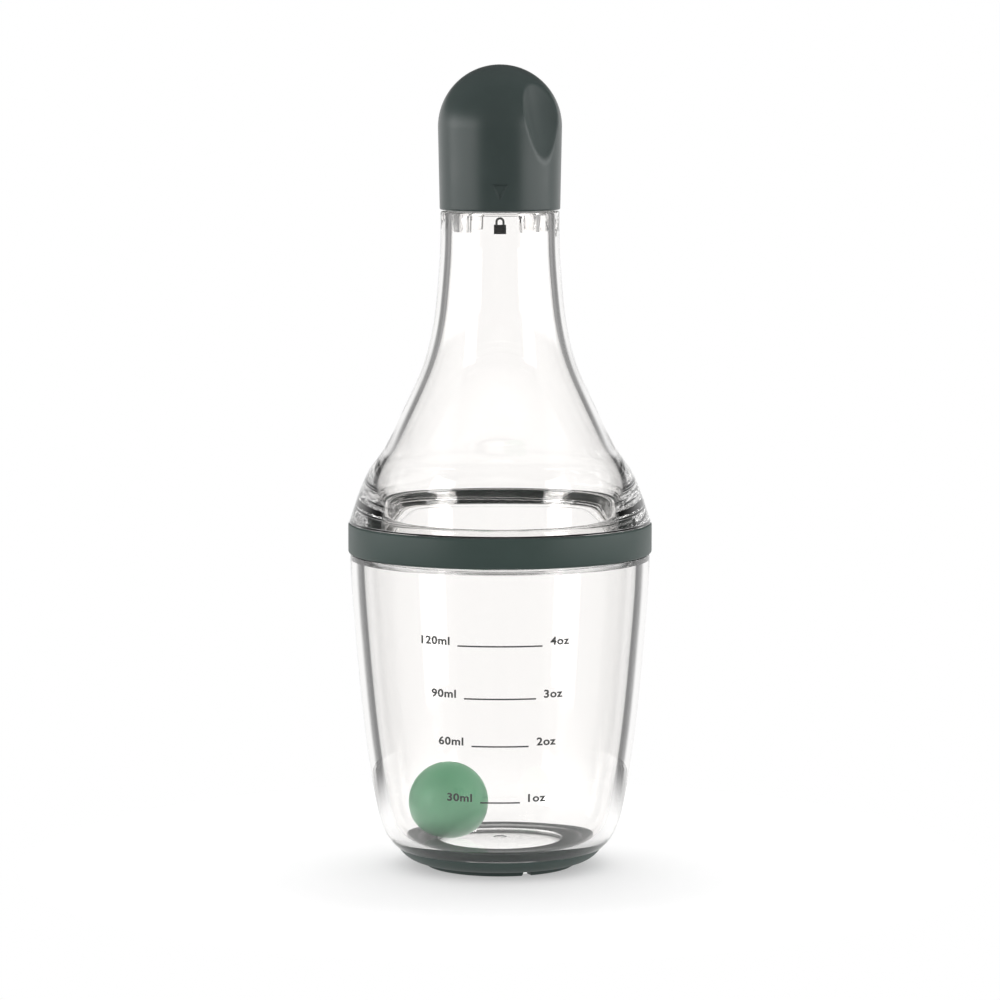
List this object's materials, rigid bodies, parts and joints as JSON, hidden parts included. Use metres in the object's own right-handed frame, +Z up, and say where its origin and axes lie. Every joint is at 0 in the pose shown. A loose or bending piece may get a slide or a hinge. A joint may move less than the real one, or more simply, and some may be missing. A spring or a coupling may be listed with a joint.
{
  "type": "dressing shaker bottle",
  "caption": "Clear dressing shaker bottle: flared cup with a screw-on bell, a dark seal band, a domed twist cap on a plug, a foot ring and a loose mixing ball.",
  "frame": {"origin": "centre of the base, on the surface that the foot ring stands on", "axes": "+Z up along the bottle's axis, printed front towards -Y"},
  "size_m": [0.0694, 0.0694, 0.183],
  "materials": {
    "clear_plastic": "clear polished copolyester",
    "dark_plastic": "satin moulded, dark grey green",
    "dark_silicone": "matt moulded silicone, dark grey green",
    "pale_silicone": "translucent silicone",
    "mint_plastic": "satin moulded, mint green"
  },
  "bodies": {
    "base": {"cup": "clear_plastic", "foot_ring": "dark_silicone"},
    "ball": {"mixing_ball": "mint_plastic"},
    "band": {"band_seal": "dark_silicone"},
    "upper": {"bell": "clear_plastic"},
    "gasket": {"cap_seal": "pale_silicone"},
    "cap": {"cap_plug": "clear_plastic", "cap_shell": "dark_plastic"}
  },
  "joints": [
    {"name": "ball_shake", "type": "slide", "parent": "base", "child": "ball", "axis": [0, 0, 1], "range_m": [0, 0.08]},
    {"name": "bell_lift", "type": "slide", "parent": "base", "child": "band", "axis": [0, 0, 1], "range_m": [0, 0.0075]},
    {"name": "bell_turn", "type": "hinge", "parent": "band", "child": "upper", "pos_m": [0, 0, 0.0791], "axis": [0, 0, 1], "range_deg": [0, 450]},
    {"name": "cap_lift", "type": "slide", "parent": "upper", "child": "gasket", "axis": [0, 0, 1], "range_m": [0, 0.008]},
    {"name": "cap_turn", "type": "hinge", "parent": "gasket", "child": "cap", "pos_m": [0, 0, 0.1509], "axis": [0, 0, 1], "range_deg": [0, 48]}
  ],
  "couplings": [
    {"joint": "bell_lift", "follows": "bell_turn", "m_per_rad": 0.00095492},
    {"joint": "cap_lift", "follows": "cap_turn", "m_per_rad": 0.0095493}
  ]
}
